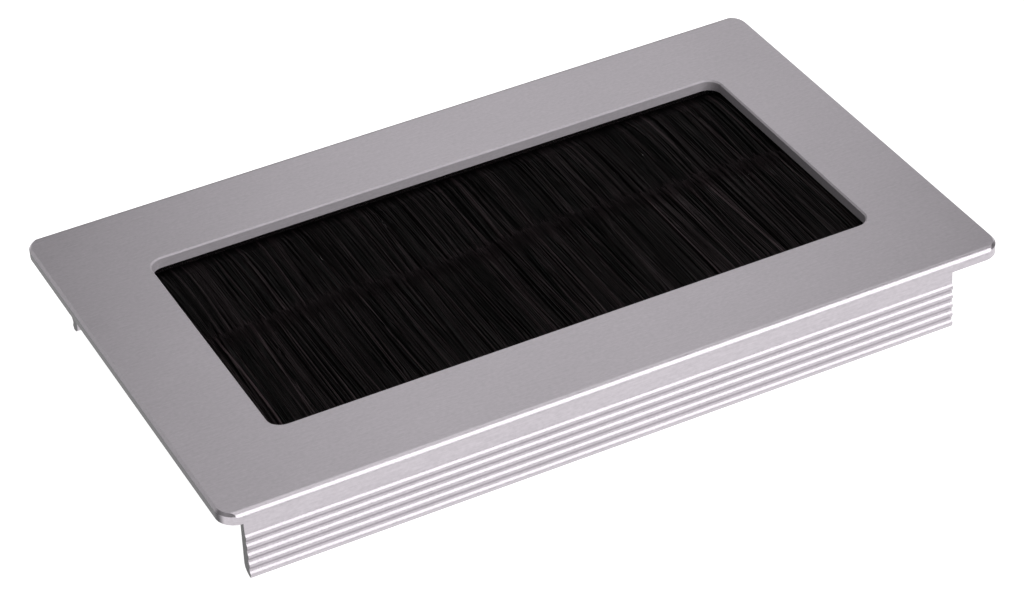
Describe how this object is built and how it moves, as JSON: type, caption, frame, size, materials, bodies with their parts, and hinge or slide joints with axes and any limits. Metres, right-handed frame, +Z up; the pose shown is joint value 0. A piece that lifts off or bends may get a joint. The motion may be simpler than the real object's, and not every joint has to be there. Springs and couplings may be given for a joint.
{
  "type": "desk grommet",
  "caption": "Rectangular aluminium desk grommet with a ribbed front skirt and opposed black strip brushes closing its cable opening.",
  "frame": {"origin": "centre of the footprint, level with the feet of the legs", "axes": "+X along the long side, +Y from the ribbed front skirt to the rear flange, +Z up through the cable opening"},
  "size_m": [0.16, 0.1004, 0.0145],
  "materials": {
    "anodised_aluminium": "satin silver anodised, finely brushed along the length",
    "zinced_steel": "zinc plated",
    "spring_wire": "drawn bright",
    "black_nylon": "matt black filaments",
    "blackened_steel": "black oxide"
  },
  "bodies": {
    "frame": {"frame_extrusion": "anodised_aluminium", "rear_set_screw_left": "blackened_steel", "rear_set_screw_right": "blackened_steel", "front_set_screw_left": "blackened_steel", "front_set_screw_right": "blackened_steel"},
    "rear_brush": {"rear_brush_channel": "zinced_steel", "rear_core_wire": "spring_wire", "rear_bristle_fold": "black_nylon"},
    "front_brush": {"front_brush_channel": "zinced_steel", "front_core_wire": "spring_wire", "front_bristle_fold": "black_nylon"},
    "rear_bristles_00": {"rear_bristles_00": "black_nylon"},
    "rear_bristles_01": {"rear_bristles_01": "black_nylon"},
    "rear_bristles_02": {"rear_bristles_02": "black_nylon"},
    "rear_bristles_03": {"rear_bristles_03": "black_nylon"},
    "rear_bristles_04": {"rear_bristles_04": "black_nylon"},
    "rear_bristles_05": {"rear_bristles_05": "black_nylon"},
    "rear_bristles_06": {"rear_bristles_06": "black_nylon"},
    "rear_bristles_07": {"rear_bristles_07": "black_nylon"},
    "rear_bristles_08": {"rear_bristles_08": "black_nylon"},
    "rear_bristles_09": {"rear_bristles_09": "black_nylon"},
    "front_bristles_00": {"front_bristles_00": "black_nylon"},
    "front_bristles_01": {"front_bristles_01": "black_nylon"},
    "front_bristles_02": {"front_bristles_02": "black_nylon"},
    "front_bristles_03": {"front_bristles_03": "black_nylon"},
    "front_bristles_04": {"front_bristles_04": "black_nylon"},
    "front_bristles_05": {"front_bristles_05": "black_nylon"},
    "front_bristles_06": {"front_bristles_06": "black_nylon"},
    "front_bristles_07": {"front_bristles_07": "black_nylon"},
    "front_bristles_08": {"front_bristles_08": "black_nylon"},
    "front_bristles_09": {"front_bristles_09": "black_nylon"}
  },
  "joints": [
    {"name": "rear_brush_slide", "type": "slide", "parent": "frame", "child": "rear_brush", "axis": [1, 0, 0], "range_m": [0, 0.146]},
    {"name": "front_brush_slide", "type": "slide", "parent": "frame", "child": "front_brush", "axis": [1, 0, 0], "range_m": [0, 0.146]},
    {"name": "rear_bristles_00_bend", "type": "hinge", "parent": "rear_brush", "child": "rear_bristles_00", "pos_m": [-0.0684, 0.0301, 0.00995], "axis": [1, 0, 0], "range_deg": [0, 55], "stiffness_Nm_per_rad": 0.0158},
    {"name": "rear_bristles_01_bend", "type": "hinge", "parent": "rear_brush", "child": "rear_bristles_01", "pos_m": [-0.05373, 0.0301, 0.00995], "axis": [1, 0, 0], "range_deg": [-15, 55], "stiffness_Nm_per_rad": 0.0179},
    {"name": "rear_bristles_02_bend", "type": "hinge", "parent": "rear_brush", "child": "rear_bristles_02", "pos_m": [-0.03818, 0.0301, 0.00995], "axis": [1, 0, 0], "range_deg": [-45, 55], "stiffness_Nm_per_rad": 0.0179},
    {"name": "rear_bristles_03_bend", "type": "hinge", "parent": "rear_brush", "child": "rear_bristles_03", "pos_m": [-0.02262, 0.0301, 0.00995], "axis": [1, 0, 0], "range_deg": [-45, 55], "stiffness_Nm_per_rad": 0.0179},
    {"name": "rear_bristles_04_bend", "type": "hinge", "parent": "rear_brush", "child": "rear_bristles_04", "pos_m": [-0.00707, 0.0301, 0.00995], "axis": [1, 0, 0], "range_deg": [-45, 55], "stiffness_Nm_per_rad": 0.0179},
    {"name": "rear_bristles_05_bend", "type": "hinge", "parent": "rear_brush", "child": "rear_bristles_05", "pos_m": [0.00847, 0.0301, 0.00995], "axis": [1, 0, 0], "range_deg": [-45, 55], "stiffness_Nm_per_rad": 0.0179},
    {"name": "rear_bristles_06_bend", "type": "hinge", "parent": "rear_brush", "child": "rear_bristles_06", "pos_m": [0.02403, 0.0301, 0.00995], "axis": [1, 0, 0], "range_deg": [-45, 55], "stiffness_Nm_per_rad": 0.0179},
    {"name": "rear_bristles_07_bend", "type": "hinge", "parent": "rear_brush", "child": "rear_bristles_07", "pos_m": [0.03957, 0.0301, 0.00995], "axis": [1, 0, 0], "range_deg": [-45, 55], "stiffness_Nm_per_rad": 0.0179},
    {"name": "rear_bristles_08_bend", "type": "hinge", "parent": "rear_brush", "child": "rear_bristles_08", "pos_m": [0.05513, 0.0301, 0.00995], "axis": [1, 0, 0], "range_deg": [-15, 55], "stiffness_Nm_per_rad": 0.0179},
    {"name": "rear_bristles_09_bend", "type": "hinge", "parent": "rear_brush", "child": "rear_bristles_09", "pos_m": [0.0653, 0.0301, 0.00995], "axis": [1, 0, 0], "range_deg": [0, 55], "stiffness_Nm_per_rad": 0.0055},
    {"name": "front_bristles_00_bend", "type": "hinge", "parent": "front_brush", "child": "front_bristles_00", "pos_m": [-0.0684, -0.0297, 0.00995], "axis": [-1, 0, 0], "range_deg": [0, 55], "stiffness_Nm_per_rad": 0.0158},
    {"name": "front_bristles_01_bend", "type": "hinge", "parent": "front_brush", "child": "front_bristles_01", "pos_m": [-0.05373, -0.0297, 0.00995], "axis": [-1, 0, 0], "range_deg": [-15, 55], "stiffness_Nm_per_rad": 0.0179},
    {"name": "front_bristles_02_bend", "type": "hinge", "parent": "front_brush", "child": "front_bristles_02", "pos_m": [-0.03818, -0.0297, 0.00995], "axis": [-1, 0, 0], "range_deg": [-45, 55], "stiffness_Nm_per_rad": 0.0179},
    {"name": "front_bristles_03_bend", "type": "hinge", "parent": "front_brush", "child": "front_bristles_03", "pos_m": [-0.02262, -0.0297, 0.00995], "axis": [-1, 0, 0], "range_deg": [-45, 55], "stiffness_Nm_per_rad": 0.0179},
    {"name": "front_bristles_04_bend", "type": "hinge", "parent": "front_brush", "child": "front_bristles_04", "pos_m": [-0.00707, -0.0297, 0.00995], "axis": [-1, 0, 0], "range_deg": [-45, 55], "stiffness_Nm_per_rad": 0.0179},
    {"name": "front_bristles_05_bend", "type": "hinge", "parent": "front_brush", "child": "front_bristles_05", "pos_m": [0.00847, -0.0297, 0.00995], "axis": [-1, 0, 0], "range_deg": [-45, 55], "stiffness_Nm_per_rad": 0.0179},
    {"name": "front_bristles_06_bend", "type": "hinge", "parent": "front_brush", "child": "front_bristles_06", "pos_m": [0.02403, -0.0297, 0.00995], "axis": [-1, 0, 0], "range_deg": [-45, 55], "stiffness_Nm_per_rad": 0.0179},
    {"name": "front_bristles_07_bend", "type": "hinge", "parent": "front_brush", "child": "front_bristles_07", "pos_m": [0.03957, -0.0297, 0.00995], "axis": [-1, 0, 0], "range_deg": [-45, 55], "stiffness_Nm_per_rad": 0.0179},
    {"name": "front_bristles_08_bend", "type": "hinge", "parent": "front_brush", "child": "front_bristles_08", "pos_m": [0.05513, -0.0297, 0.00995], "axis": [-1, 0, 0], "range_deg": [-15, 55], "stiffness_Nm_per_rad": 0.0179},
    {"name": "front_bristles_09_bend", "type": "hinge", "parent": "front_brush", "child": "front_bristles_09", "pos_m": [0.0653, -0.0297, 0.00995], "axis": [-1, 0, 0], "range_deg": [0, 55], "stiffness_Nm_per_rad": 0.0055}
  ]
}
